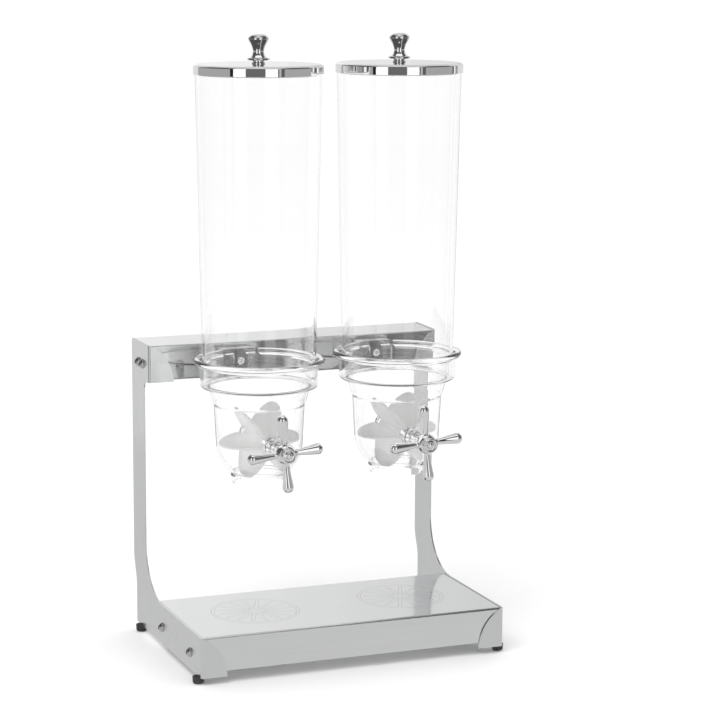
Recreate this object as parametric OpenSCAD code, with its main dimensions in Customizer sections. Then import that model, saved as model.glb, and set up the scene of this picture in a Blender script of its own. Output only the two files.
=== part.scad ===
// Twin counter-top cereal dispenser: a folded sheet-metal stand carries two clear bowls,
// each with a soft portion wheel on a hand-turned shaft, a tall clear tube and a lid.
// Millimetres, +Z up, front towards -Y. The origin is on the counter, under the stand's middle.

/* [Stand] */
// Width over the two side plates
frame_w = 350; // [320:5:430]
// Depth of the side plates where they stand on the counter
base_d = 240; // [220:5:290]
// Height of the top of the stand above the counter
stand_h = 336; // [320:2:404]
// Sheet thickness of the side plates
plate_t = 1.5; // [1.2:0.1:2.5]
// Height of the side plates' lower part
base_h = 44; // [36:1:54]
// Height of the side plates' head, which holds the beam
head_h = 42; // [36:1:50]
// Depth of the head from its front bend to its back edge
head_d = 66; // [62:1:80]
// Depth of the column between base and head
column_d = 46; // [34:1:54]
// How far the column steps back behind the base
column_jog = 10; // [4:1:16]
// Radius of the sweep from the column's front into the base's top edge
sweep_r = 58; // [30:1:62]
// Radius of the fillet under the head
head_fillet_r = 11; // [6:1:16]
// Outer radius of the folded corners
bend_r = 3; // [2.6:0.1:4]
// Width of the front flanges, from the outer face to their curved edge
flange_w = 29; // [22:1:36]
// Radius of the front flanges' curved edge
flange_r = 48; // [44:1:70]

/* [Platform and beam] */
// Depth of the platform that the cereal dish stands on
platform_d = 162; // [140:2:190]
// Sheet thickness of the platform and the beam
sheet_t = 1.2; // [1:0.1:2]
// Radius of the platform's and the beam's rounded edges
edge_r = 2.5; // [2.2:0.1:4]
// Height of the platform's open bottom above the side plates' bottom
skirt_rise = 6; // [4:0.5:10]

/* [Feet and fasteners] */
// Radius of a rubber foot
foot_r = 6.3; // [5:0.1:9]
// Height of a rubber foot
foot_h = 8; // [7:0.5:12]
// Thread radius of the side screws and the bowl screws
screw_r = 2.5; // [2:0.25:3]
// Head radius of a side screw
side_head_r = 5.5; // [4.2:0.1:6]
// Head height of a side screw
side_head_h = 4.2; // [2:0.1:4.4]

/* [Units] */
// Distance between the axes of the two units
unit_pitch = 161; // [150:1:190]
// Distance from the beam's front face to a unit's axis
reach = 101; // [92:1:112]
// Height of a bowl's rim below the top of the stand
rim_drop = 6; // [2:0.5:10]

/* [Bowl] */
// Wall of the bowl
bowl_wall = 2.3; // [2:0.1:3.5]
// Outer radius of the rounded belly that the wheel turns in
belly_r = 47.3; // [42:0.1:52]
// Height from the middle of the rim's bead down to the collar's underside
collar_h = 28; // [24:0.5:36]
// Height of the conical neck under the collar
neck_h = 17; // [11:0.5:20]
// Height from the collar's underside down to the shaft
shaft_drop = 58.5; // [56:0.5:72]
// Radius of the rim's bead
bead_r = 3.3; // [2.5:0.1:4.2]
// Outer radius of the outlet spout
outlet_r = 29.5; // [25:0.5:34]
// Height of the outlet spout
outlet_h = 10; // [6:0.5:14]
// Width of the lug behind the collar
lug_w = 44; // [38:1:52]
// Height of the lug
lug_h = 29; // [27:1:34]
// Height of the bowl screw above the collar's underside
lug_screw_rise = 18; // [16:0.5:20]

/* [Tube] */
// Outer radius of the tube at its foot
tube_foot_r = 61; // [56:0.5:66]
// Outer radius of the tube at its top
tube_top_r = 67.6; // [66.5:0.1:72]
// Height of the tube
tube_h = 340; // [280:5:410]
// Wall of the tube
tube_wall = 2.6; // [2:0.1:3.5]

/* [Lid] */
// Height of the lid's skirt
lid_skirt_h = 11; // [8:0.5:16]
// Sheet thickness of the lid
lid_t = 1.2; // [0.8:0.1:2]
// Thickness of the seal between the lid and the tube's top edge
seal_t = 2.6; // [1.5:0.1:4]
// Height of the seal's lip inside the tube
seal_lip_h = 8; // [5:0.5:12]
// Radius of the knob's crown
knob_r = 11.2; // [9:0.1:14]
// Height of the knob
knob_h = 31.5; // [27:0.5:40]

/* [Portion wheel] */
// Gap between the petals' tips and the belly's inside
petal_gap = 1; // [0.6:0.1:2]
// Thickness of a petal
petal_t = 2.4; // [1.6:0.1:3.2]
// Number of petals
petal_count = 6; // [4:1:8]
// Radius of the wheel's hub
wheel_hub_r = 7.2; // [6.5:0.1:9]
// Turn of the wheel and the handle at rest, in degrees
rest_turn = 5; // [0:1:30]

/* [Shaft and handle] */
// Radius of the shaft
shaft_r = 4; // [3.2:0.1:4.8]
// Outer radius of the shaft's bush
bush_r = 7.8; // [7:0.1:9.5]
// Reach of the handle's arms from the shaft's axis
arm_reach = 42.3; // [36:0.1:51]
// Radius of an arm's round tip
arm_tip_r = 6.1; // [4.5:0.1:7.4]
// Radius of an arm where it leaves the hub
arm_neck_r = 3.3; // [2.5:0.1:4]
// Radius of the handle's hub
handle_hub_r = 11.2; // [9.5:0.1:13.5]
// Distance from a unit's axis to the plane of the arms
arm_plane = 83.5; // [80:0.5:100]
// Radius of the handle's cap
cap_r = 7.9; // [6.6:0.1:9]

/* [Hidden] */

$fn = 96;
left = -1;
right = 1;

// Clearances
hole_gap = 0.15;     // round a fastener, in radius
run_gap = 0.05;      // round the turning shaft, in radius
seam_gap = 0.2;      // between neighbouring sheets
end_gap = 0.3;       // between turning and fixed end faces
tube_gap = 0.1;      // between the tube and the collar at the rim's height, in radius
lid_gap = 0.5;       // between the tube's top and the lid's skirt, in radius

// Stand
half_w = frame_w / 2;
base_front = -base_d / 2;
base_rear = base_d / 2;
column_rear = base_rear + column_jog;
column_front = column_rear - column_d;
head_front = column_rear - head_d;
plate_bottom = foot_h;
plate_top = foot_h + base_h;
head_bottom = stand_h - head_h;
head_corner_r = 6;
foot_corner_r = 3;
jog_h = 36;          // height over which the column's back edge steps back
inner_half_w = half_w - plate_t - seam_gap;

// Feet, pushed on tabs of the side plates
foot_front_in = 13;  // from the base's front to the front feet
foot_rear_in = 15;   // from the base's back to the rear feet
foot_y = [base_front + foot_front_in, base_rear - foot_rear_in];
foot_edge_r = 2.5;
tab_w = 7;
tab_l = 4.5;
tab_gap = 0.1;       // round a tab, on each side

// Platform and beam
platform_front = base_front + plate_t + seam_gap;
platform_rear = base_front + platform_d;
skirt_z = plate_bottom + skirt_rise;
beam_in = 1;         // how far the beam stays inside the head's top and back
beam_front = head_front + plate_t + seam_gap;
beam_rear = column_rear - beam_in;
beam_bottom = head_bottom + 1.5 * beam_in;
beam_top = stand_h - beam_in;

// Side fasteners
side_nut_r = 4.6;
side_nut_h = 4;
base_screw_share = 0.42;  // share of the base's height below its screws
front_screw_in = 38.5;    // from the platform's front edge
rear_screw_in = 20;       // from the platform's rear edge
head_screw_in = [42, 26]; // from the column's back edge
head_screw_drop = 24;     // from the stand's top
base_screw_z = plate_bottom + base_screw_share * base_h;
base_screw_y = [platform_front + front_screw_in, platform_rear - rear_screw_in];
head_screw_z = stand_h - head_screw_drop;
head_screw_y = [for (d = head_screw_in) column_rear - d];
side_grip = plate_t + seam_gap + sheet_t;

// Bowl levels, from the stand's top down
unit_y = beam_front - reach;
rim_z = stand_h - rim_drop;
collar_z = rim_z - collar_h;
shaft_z = collar_z - shaft_drop;
shoulder_w = 8.5;    // how far the neck's top lies inside the collar
neck_flare = 3.6;    // how far the neck's foot lies outside the belly
body_flare = 2.6;    // how far the body's top lies outside the belly
ledge_out = 1.6;
ledge_h = 2;
mouth_bevel = 1.2;   // how far the mouth's edge lies inside the bead's middle
tube_flare = (tube_top_r - tube_foot_r) / tube_h;
collar_ir = tube_foot_r + tube_flare * (collar_h - bowl_wall) + tube_gap;
collar_r = collar_ir + bowl_wall;
rim_r = collar_r + bead_r + 0.2;
neck_z = collar_z - neck_h;
neck_top_r = collar_r - shoulder_w;
neck_foot_r = belly_r + neck_flare;
ledge_r = neck_foot_r + ledge_out;
body_top_r = belly_r + body_flare;
belly_ir = belly_r - bowl_wall;
outlet_ir = outlet_r - bowl_wall;
outlet_top_z = shaft_z - sqrt(belly_r * belly_r - outlet_r * outlet_r);
outlet_z = outlet_top_z - outlet_h;
lip_h = 1.6;
lip_out = 1.7;
belly_lap = 6;       // how far the body's cone starts below the belly's middle
belly_step = 0.6;    // how far inside the belly it starts there

// Lug and bowl screw
lug_z = collar_z + 1;
lug_wall = 3;
lug_post_r = 7.5;
lug_pocket_w = lug_w / 2 - lug_wall - lug_post_r;
bowl_screw_z = collar_z + lug_screw_rise;
bowl_head_r = 1.72 * screw_r;
bowl_head_h = 2 * screw_r;
bowl_head_y = collar_ir + 0.4;
bowl_thread_end = reach + sheet_t + 8;
socket_r = 0.92 * screw_r;
beam_nut_r = 5;
beam_nut_h = 6.5;

// Shaft, bush and bosses, as distances from the unit's axis towards the front
bush_in = 19.3;      // how far the bush reaches in from the belly
boss_out = 3;        // how far the boss stands out from the belly
bush_out = 5;        // how far the bush stands out from its boss
boss_wall = 2.4;
rear_boss_wall = 4;
rear_boss_h = 9;
rear_bore_skin = 1.2; // belly's inside left behind the blind bore
bush_back = belly_r - bush_in;
boss_front = belly_r + boss_out;
bush_front = boss_front + bush_out;
boss_r = bush_r + boss_wall;
boss_back = belly_ir - 1.5;
rear_boss_r = shaft_r + rear_boss_wall;
rear_boss_end = belly_ir - rear_boss_h;
rear_bore_end = belly_ir - rear_bore_skin;
shaft_back = rear_bore_end - 1;
shaft_front = arm_plane - 3;
flat_at = shaft_r - 1;

// Portion wheel
petal_r = belly_ir - petal_gap;
wheel_hub_front = bush_back - end_gap;
wheel_hub_back = rear_boss_end - end_gap - 0.7;
petal_boss_gap = 1.7; // between the petals and the bush or the rear boss
wheel_pin_r = 1.2;
wheel_pin_at = 12;
wheel_pin_l = 2 * wheel_hub_r - 0.6;

// Handle
stem_back = bush_front + end_gap;
stem_r = bush_r - 0.6;
stem_edge = 0.5;
swell_from = 15;     // behind the arms' plane, where the hub starts to swell
swell_to = 3;        // behind the arms' plane, where it has swollen
hub_front_from = 2;  // in front of the arms' plane, where it starts to narrow
cap_seat = arm_plane + 8;
cap_edge_r = 1.2;
cap_rim_w = 2;
cap_dish = 0.9;
cap_h = 6.5;
cap_plug_h = 3;
handle_web = 3;
handle_bore_front = shaft_front + 0.2;
handle_seat = handle_bore_front + handle_web;
handle_screw_r = 2;
handle_head_r = 3.6;
handle_head_h = 2.6;
handle_screw_l = 14;
counter_r = 4.2;
arm_tip_at = arm_reach - arm_tip_r;

// Tube and lid levels
tube_z = collar_z + bowl_wall;
tube_top_z = tube_z + tube_h;
lid_under_z = tube_top_z + seal_t;
lid_top_z = lid_under_z + lid_t;
lid_ir = tube_top_r + lid_gap;
lid_r = lid_ir + lid_t;
lid_edge_r = 2;
lid_inner_edge_r = lid_edge_r - 1;
tube_edge = 0.9;
seal_lip_w = 3;
seal_lip_r = tube_top_r - tube_wall - 0.4;
seal_edge = 1;
knob_screw_r = 2.5;
knob_head_r = 5;
knob_head_h = 2.8;
knob_bore_h = 14;
knob_foot_r = 7.4;
knob_foot_h = 1;
knob_stem_r = 6.4;
knob_disc_r = knob_r + 1.2;
knob_disc_z = 3.8;   // underside of the knob's thin disc
knob_disc_t = 2.4;
knob_neck_r = 0.53 * knob_r;
knob_neck_z = 12.5;
knob_crown_h = 6;
knob_crown_z = knob_h - knob_crown_h;

metal = [0.78, 0.79, 0.80];
polished = [0.88, 0.89, 0.90];
clear_plastic = [0.90, 0.94, 0.96, 0.35];
milky = [0.93, 0.93, 0.92];
rubber = [0.13, 0.13, 0.14];
zinc = [0.66, 0.67, 0.69];

// Points along an arc, from angle a0 to angle a1
function arc(cx, cy, r, a0, a1, steps = 12) =
    [for (i = [0:steps]) let (a = a0 + (a1 - a0) * i / steps) [cx + r * cos(a), cy + r * sin(a)]];

// Points along the smooth step of the column's back edge
function jog_edge(y0, y1, z0, z1, steps = 10) =
    [for (i = [0:steps]) [y0 + (y1 - y0) * (1 - cos(180 * i / steps)) / 2, z0 + (z1 - z0) * i / steps]];

// Extrudes a flat shape drawn in Y and Z along X
module along_x(length) {
    rotate([90, 0, 90])
        linear_extrude(length)
            children();
}

// Extrudes a flat shape drawn in X and Z along Y
module along_y(length) {
    translate([0, length, 0])
        rotate([90, 0, 0])
            linear_extrude(length)
                children();
}

// A rectangle from one corner to the other, with its two upper corners rounded
module round_topped(x0, y0, x1, y1, r) {
    translate([x0 + r, y0])
        square([x1 - x0 - 2 * r, y1 - y0]);
    translate([x0, y0])
        square([x1 - x0, y1 - r - y0]);
    for (x = [x0 + r, x1 - r])
        translate([x, y1 - r])
            circle(r);
}

// A rectangle from one corner to the other, with its two front corners rounded
module round_fronted(x0, y0, x1, y1, r) {
    mirror([0, 1])
        round_topped(x0, -y1, x1, -y0, r);
}

module at_unit(side) {
    translate([side * unit_pitch / 2, unit_y, 0])
        children();
}

// Puts a piece on a unit's shaft: its own +Z points to the front
module at_shaft(side) {
    translate([side * unit_pitch / 2, unit_y, shaft_z])
        rotate([90, 0, 0])
            children();
}

// ---- Stand ----

module platform_block(inset) {
    x = inner_half_w - inset;
    y0 = platform_front + inset;
    y1 = platform_rear - inset;
    z0 = inset > 0 ? skirt_z - 1 : skirt_z;
    z1 = plate_top - inset;
    r = edge_r - inset;
    intersection() {
        translate([-x, 0, 0])
            along_x(2 * x)
                round_topped(y0, z0, y1, z1, r);
        translate([0, y0, 0])
            along_y(y1 - y0)
                round_topped(-x, z0, x, z1, r);
        translate([0, 0, z0])
            linear_extrude(z1 - z0)
                round_fronted(-x, y0, x, y1, r);
    }
}

module base_platform() {
    color(metal)
    difference() {
        platform_block(0);
        platform_block(sheet_t);
        for (y = base_screw_y)
            translate([-half_w, y, base_screw_z])
                rotate([0, 90, 0])
                    cylinder(r = screw_r + hole_gap, h = frame_w);
    }
}

// Outline of a side plate's flat web, in Y and Z
module web_outline() {
    polygon(concat(
        [[base_front + bend_r, plate_bottom]],
        arc(base_rear - foot_corner_r, plate_bottom + foot_corner_r, foot_corner_r, -90, 0, 6),
        jog_edge(base_rear, column_rear, plate_top, plate_top + jog_h),
        arc(column_rear - head_corner_r, stand_h - head_corner_r, head_corner_r, 0, 90, 8),
        [[head_front + bend_r, stand_h], [head_front + bend_r, head_bottom]],
        arc(column_front - head_fillet_r, head_bottom - head_fillet_r, head_fillet_r, 90, 0, 10),
        arc(column_front - sweep_r, plate_top + sweep_r, sweep_r, 0, -90, 24),
        [[base_front + bend_r, plate_top]]
    ));
}

// Bent front flange of the left side plate, with its curved free edge
module front_flange(front, bottom, top) {
    edge_z = top - sqrt(flange_r * flange_r - pow(flange_r - flange_w + 1, 2));
    intersection() {
        union() {
            translate([bend_r - half_w, front + bend_r, bottom])
                linear_extrude(top - bottom)
                    intersection() {
                        difference() {
                            circle(bend_r);
                            circle(bend_r - plate_t);
                        }
                        translate([-bend_r, -bend_r])
                            square(bend_r);
                    }
            translate([bend_r - half_w, front, bottom])
                cube([flange_w - bend_r, plate_t, top - bottom]);
        }
        translate([flange_w - flange_r - half_w, front - 1, edge_z])
            rotate([-90, 0, 0])
                cylinder(r = flange_r, h = bend_r + 2, $fn = 160);
    }
}

module left_plate_solid() {
    difference() {
        union() {
            translate([-half_w, 0, 0])
                along_x(plate_t) {
                    web_outline();
                    for (y = foot_y)
                        translate([y - tab_w / 2, plate_bottom - tab_l])
                            square([tab_w, tab_l + 1]);
                }
            front_flange(base_front, plate_bottom, plate_top);
            front_flange(head_front, head_bottom, stand_h);
        }
        for (y = base_screw_y)
            side_hole(y, base_screw_z);
        for (y = head_screw_y)
            side_hole(y, head_screw_z);
    }
}

module side_hole(y, z) {
    translate([-half_w - 1, y, z])
        rotate([0, 90, 0])
            cylinder(r = screw_r + hole_gap, h = plate_t + 2);
}

module side_plate_left() {
    color(metal)
        left_plate_solid();
}

module side_plate_right() {
    color(metal)
        mirror([1, 0, 0])
            left_plate_solid();
}

module cross_beam() {
    color(polished)
    difference() {
        beam_block(0);
        beam_block(sheet_t);
        for (y = head_screw_y)
            translate([-half_w, y, head_screw_z])
                rotate([0, 90, 0])
                    cylinder(r = screw_r + hole_gap, h = frame_w);
        for (side = [left, right])
            translate([side * unit_pitch / 2, beam_front - 1, bowl_screw_z])
                rotate([-90, 0, 0])
                    cylinder(r = screw_r + hole_gap, h = sheet_t + 2);
    }
}

module beam_block(inset) {
    x = inner_half_w - inset;
    intersection() {
        translate([-x, 0, 0])
            along_x(2 * x)
                beam_section(inset);
        translate([0, 0, beam_bottom])
            linear_extrude(beam_top - beam_bottom)
                round_fronted(-x, beam_front + inset, x, beam_rear + 2, edge_r - inset);
    }
}

// Section of the beam: rounded at the front, open at the back when cut by its own inside
module beam_section(inset) {
    y0 = beam_front + inset;
    y1 = inset > 0 ? beam_rear + 1 : beam_rear;
    z0 = beam_bottom + inset;
    z1 = beam_top - inset;
    r = edge_r - inset;
    translate([y0 + r, z0])
        square([y1 - y0 - r, z1 - z0]);
    translate([y0, z0 + r])
        square([r, z1 - z0 - 2 * r]);
    for (z = [z0 + r, z1 - r])
        translate([y0 + r, z])
            circle(r);
}

module at_side_screws() {
    places = concat(
        [for (y = base_screw_y) [y, base_screw_z]],
        [for (y = head_screw_y) [y, head_screw_z]]
    );
    for (turn = [0, 180], p = places)
        translate([0, p[0], p[1]])
            rotate([0, 0, turn])
                translate([half_w, 0, 0])
                    rotate([0, 90, 0])
                        children();
}

// Button-head screw: its head stands on z = 0 and its thread runs down
module button_screw(r, head_r, head_h, length) {
    rim_h = 0.5;
    dome_h = head_h - rim_h;
    dome_r = (head_r * head_r + dome_h * dome_h) / (2 * dome_h);
    difference() {
        rotate_extrude()
            polygon(concat(
                [[0, -length], [r, -length], [r, 0], [head_r, 0]],
                arc(0, head_h - dome_r, dome_r, acos(head_r / dome_r), 90, 8)
            ));
        translate([0, 0, 0.3 * head_h])
            cylinder(r = 0.4 * head_r, h = head_h, $fn = 6);
    }
}

module side_screws() {
    color(polished)
        at_side_screws()
            button_screw(screw_r, side_head_r, side_head_h, side_grip + side_nut_h + 1);
}

module side_nuts() {
    color(zinc)
        at_side_screws()
            translate([0, 0, -side_grip - side_nut_h])
                nut(side_nut_r, screw_r + run_gap, side_nut_h);
}

module nut(r, bore_r, h) {
    difference() {
        cylinder(r = r, h = h, $fn = 6);
        translate([0, 0, -1])
            cylinder(r = bore_r, h = h + 2);
    }
}

// ---- Feet ----

// Round feet with a slot on top that takes a tab of the side plate
module rubber_feet() {
    slot = [plate_t + 2 * tab_gap, tab_w + 2 * tab_gap, 2 * (tab_l + tab_gap)];
    color(rubber)
        for (side = [left, right], y = foot_y)
            translate([side * (half_w - plate_t / 2), y, 0])
                difference() {
                    rotate_extrude()
                        polygon(concat(
                            [[0, 0], [foot_r - foot_edge_r, 0]],
                            arc(foot_r - foot_edge_r, foot_edge_r, foot_edge_r, -90, 0, 6),
                            [[foot_r, foot_h], [0, foot_h]]
                        ));
                    translate([0, 0, foot_h])
                        cube(slot, center = true);
                }
}

// ---- Bowl ----

// Outside of the bowl: rim bead, collar, neck, ledge and body, the round belly and the spout
module bowl_outside() {
    rotate_extrude($fn = 160)
        polygon(concat(
            [[0, shaft_z - belly_lap], [belly_r - belly_step, shaft_z - belly_lap]],
            [[body_top_r, neck_z - ledge_h / 2]],
            [[ledge_r, neck_z - ledge_h / 2], [ledge_r, neck_z + ledge_h / 2]],
            [[neck_foot_r, neck_z + ledge_h / 2], [neck_top_r, collar_z]],
            arc(collar_r - 3, collar_z + 3, 3, -90, 0, 6),
            [[collar_r, rim_z - bead_r - 1]],
            arc(rim_r, rim_z, bead_r, -120, 100, 16),
            [[0, rim_z + bead_r * 0.98]]
        ));
    translate([0, 0, shaft_z])
        sphere(belly_r, $fn = 160);
    translate([0, 0, outlet_z])
        cylinder(r = outlet_r, h = shaft_z - outlet_z, $fn = 160);
    translate([0, 0, outlet_top_z - lip_h])
        cylinder(r = outlet_r + lip_out, h = lip_h, $fn = 160);
}

// Inside of the bowl, open at the top and through the spout
module bowl_inside() {
    mouth_r = rim_r - mouth_bevel;
    rotate_extrude($fn = 160)
        polygon([
            [0, shaft_z - belly_lap],
            [belly_ir - belly_step, shaft_z - belly_lap],
            [body_top_r - bowl_wall, neck_z - bowl_wall / 2],
            [neck_top_r - bowl_wall, collar_z],
            [neck_top_r - bowl_wall, collar_z + bowl_wall],
            [collar_ir, collar_z + bowl_wall],
            [collar_ir, rim_z - bead_r],
            [mouth_r, rim_z + bead_r],
            [mouth_r, rim_z + bead_r + 5],
            [0, rim_z + bead_r + 5]
        ]);
    translate([0, 0, shaft_z])
        sphere(belly_ir, $fn = 160);
    translate([0, 0, outlet_z - 1])
        cylinder(r = outlet_ir, h = shaft_z - outlet_z, $fn = 160);
}

// Lug behind the collar: a box open below, with a round post for the bowl screw
module bowl_lug() {
    difference() {
        translate([-lug_w / 2, 0, lug_z])
            cube([lug_w, reach, lug_h]);
        difference() {
            translate([-lug_w / 2 + lug_wall, 0, lug_z - 1])
                cube([lug_w - 2 * lug_wall, reach - lug_wall, lug_h - lug_wall + 1]);
            cylinder(r = collar_r, h = stand_h);
            translate([-lug_post_r, 0, 0])
                cube([2 * lug_post_r, reach, stand_h]);
        }
        for (side = [left, right])
            translate([side * (lug_post_r + lug_pocket_w / 2), reach, lug_z + lug_h / 2])
                cube([lug_pocket_w / 2, 2 * lug_wall, 0.4 * lug_h], center = true);
    }
}

module bowl_solid() {
    difference() {
        union() {
            bowl_outside();
            bowl_lug();
            translate([0, 0, shaft_z])
                rotate([90, 0, 0])
                    translate([0, 0, boss_back])
                        cylinder(r = boss_r, h = boss_front - boss_back);
        }
        difference() {
            bowl_inside();
            translate([0, rear_boss_end, shaft_z])
                rotate([-90, 0, 0])
                    cylinder(r = rear_boss_r, h = belly_ir - rear_boss_end + 1);
        }
        translate([0, 0, shaft_z])
            rotate([90, 0, 0])
                cylinder(r = bush_r + run_gap, h = boss_front + 1);
        translate([0, rear_boss_end - 1, shaft_z])
            rotate([-90, 0, 0])
                cylinder(r = shaft_r + run_gap, h = rear_bore_end - rear_boss_end + 1);
        translate([0, 0, bowl_screw_z])
            rotate([-90, 0, 0]) {
                cylinder(r = screw_r + hole_gap, h = reach + 1);
                cylinder(r = bowl_head_r + 0.5, h = bowl_head_y + bowl_head_h);
            }
    }
}

module bowl(side) {
    color(clear_plastic)
        at_unit(side)
            bowl_solid();
}

module bowl_screws() {
    color(polished)
        for (side = [left, right])
            at_unit(side)
                translate([0, bowl_head_y, bowl_screw_z])
                    rotate([-90, 0, 0])
                        difference() {
                            union() {
                                cylinder(r = bowl_head_r, h = bowl_head_h);
                                cylinder(r = screw_r, h = bowl_thread_end - bowl_head_y);
                            }
                            translate([0, 0, -1])
                                cylinder(r = socket_r, h = 1 + 0.6 * bowl_head_h, $fn = 6);
                        }
}

module beam_nuts() {
    color(zinc)
        for (side = [left, right])
            at_unit(side)
                translate([0, reach + sheet_t, bowl_screw_z])
                    rotate([-90, 0, 0])
                        nut(beam_nut_r, screw_r + run_gap, beam_nut_h);
}

module shaft_bush(side) {
    color(polished)
        at_shaft(side)
            difference() {
                translate([0, 0, bush_back])
                    cylinder(r = bush_r, h = bush_front - bush_back);
                translate([0, 0, bush_back - 1])
                    cylinder(r = shaft_r + run_gap, h = bush_front - bush_back + 2);
            }
}

// ---- Portion wheel, shaft and handle ----

// Half-round petal, cut clear of the bush in front and the boss behind
module petal_outline() {
    difference() {
        intersection() {
            circle(petal_r, $fn = 160);
            translate([0, -petal_r])
                square([petal_r, 2 * petal_r]);
        }
        translate([-1, wheel_hub_front])
            square([bush_r + petal_boss_gap + 1, petal_r]);
        translate([-1, -petal_r - wheel_hub_back])
            square([rear_boss_r + petal_boss_gap + 1, petal_r]);
    }
}

module portion_wheel(side) {
    color(milky)
        at_shaft(side)
            rotate([0, 0, rest_turn])
                difference() {
                    union() {
                        translate([0, 0, -wheel_hub_back])
                            cylinder(r = wheel_hub_r, h = wheel_hub_back + wheel_hub_front);
                        for (i = [0:petal_count - 1])
                            rotate([0, 0, i * 360 / petal_count])
                                translate([0, petal_t / 2, 0])
                                    rotate([90, 0, 0])
                                        linear_extrude(petal_t)
                                            petal_outline();
                    }
                    flatted_rod(shaft_r + hole_gap, flat_at + hole_gap, -belly_r, belly_r);
                    pin_hole();
                }
}

// Round rod with one flat along it, from z = start to z = end
module flatted_rod(r, flat, start, end) {
    translate([0, 0, start])
        linear_extrude(end - start)
            difference() {
                circle(r);
                translate([-r, flat])
                    square([2 * r, r]);
            }
}

module pin_hole() {
    translate([-wheel_hub_r - 1, 0, wheel_pin_at])
        rotate([0, 90, 0])
            cylinder(r = wheel_pin_r + hole_gap, h = 2 * wheel_hub_r + 2);
}

module wheel_pin(side) {
    color(zinc)
        at_shaft(side)
            rotate([0, 0, rest_turn])
                translate([-wheel_pin_l / 2, 0, wheel_pin_at])
                    rotate([0, 90, 0])
                        cylinder(r = wheel_pin_r, h = wheel_pin_l);
}

module shaft(side) {
    color(zinc)
        at_shaft(side)
            rotate([0, 0, rest_turn])
                difference() {
                    translate([0, 0, -shaft_back])
                        cylinder(r = shaft_r, h = shaft_back + shaft_front);
                    translate([-shaft_r - 1, flat_at, -wheel_hub_back])
                        cube([2 * shaft_r + 2, shaft_r, wheel_hub_back + wheel_hub_front]);
                    translate([-shaft_r - 1, flat_at, stem_back])
                        cube([2 * shaft_r + 2, shaft_r, shaft_front]);
                    translate([0, 0, handle_seat - handle_screw_l])
                        cylinder(r = handle_screw_r + run_gap, h = handle_screw_l);
                    pin_hole();
                }
}

// Hub of the handle: a round stem that swells to the arms and narrows to the cap's seat
module handle_hub() {
    seat_r = cap_r - 0.4;
    rotate_extrude()
        polygon(concat(
            [[0, stem_back], [stem_r - stem_edge, stem_back], [stem_r, stem_back + stem_edge]],
            [[stem_r, arm_plane - swell_from]],
            [for (i = [1:10]) let (t = i / 10) [
                stem_r + (handle_hub_r - stem_r) * (1 - cos(180 * t)) / 2,
                arm_plane - swell_from + (swell_from - swell_to) * t
            ]],
            [for (i = [0:8]) let (t = i / 8) [
                seat_r + (handle_hub_r - seat_r) * cos(90 * t),
                arm_plane + hub_front_from + (cap_seat - arm_plane - hub_front_from) * sin(90 * t)
            ]],
            [[0, cap_seat]]
        ));
}

// One arm along +X: a cone that widens to a round tip
module handle_arm() {
    slope = asin((arm_tip_r - arm_neck_r) / (arm_tip_at - handle_hub_r));
    rotate([0, 90, 0])
        rotate_extrude($fn = 64)
            polygon(concat(
                [[0, 0], [arm_neck_r * 0.9, 0], [arm_neck_r, handle_hub_r]],
                arc(0, arm_tip_at, arm_tip_r, -slope, 90, 12)
            ));
}

module cross_handle(side) {
    color(polished)
        at_shaft(side)
            rotate([0, 0, rest_turn])
                difference() {
                    union() {
                        handle_hub();
                        for (i = [0:3])
                            translate([0, 0, arm_plane])
                                rotate([0, 0, 90 * i])
                                    handle_arm();
                    }
                    flatted_rod(shaft_r + run_gap, flat_at + run_gap, stem_back - 1, handle_bore_front);
                    translate([0, 0, stem_back])
                        cylinder(r = handle_screw_r + hole_gap, h = cap_seat);
                    translate([0, 0, handle_seat])
                        cylinder(r = counter_r, h = cap_seat);
                }
}

module handle_screw(side) {
    color(zinc)
        at_shaft(side)
            difference() {
                union() {
                    translate([0, 0, handle_seat])
                        cylinder(r = handle_head_r, h = handle_head_h);
                    translate([0, 0, handle_seat - handle_screw_l + 1])
                        cylinder(r = handle_screw_r, h = handle_screw_l);
                }
                translate([0, 0, handle_seat + 1])
                    cylinder(r = handle_head_r / 2, h = handle_head_h, $fn = 6);
            }
}

// Cap over the handle screw: a button with a raised rim and a low dome in it
module handle_cap(side) {
    front = cap_seat + cap_h;
    dome_r = cap_r - cap_rim_w - 0.6;
    dome_h = cap_dish - 0.2;
    color(polished)
        at_shaft(side)
            rotate_extrude()
                polygon(concat(
                    [[0, cap_seat - cap_plug_h], [counter_r - run_gap, cap_seat - cap_plug_h]],
                    [[counter_r - run_gap, cap_seat], [cap_r, cap_seat]],
                    arc(cap_r - cap_edge_r, front - cap_edge_r, cap_edge_r, 0, 90, 6),
                    [[cap_r - cap_rim_w, front - cap_dish]],
                    [for (i = [0:6]) let (t = i / 6)
                        [dome_r * cos(90 * t), front - cap_dish + dome_h * sin(90 * t)]]
                ));
}

// ---- Tube ----

module tube(side) {
    color(clear_plastic)
        at_unit(side)
            translate([0, 0, tube_z])
                rotate_extrude($fn = 160)
                    polygon([
                        [tube_foot_r - tube_wall, 0],
                        [tube_foot_r - tube_edge, 0],
                        [tube_foot_r, tube_edge],
                        [tube_top_r, tube_h - tube_edge],
                        [tube_top_r - tube_edge, tube_h],
                        [tube_top_r - tube_wall, tube_h]
                    ]);
}

// ---- Lid ----

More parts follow.
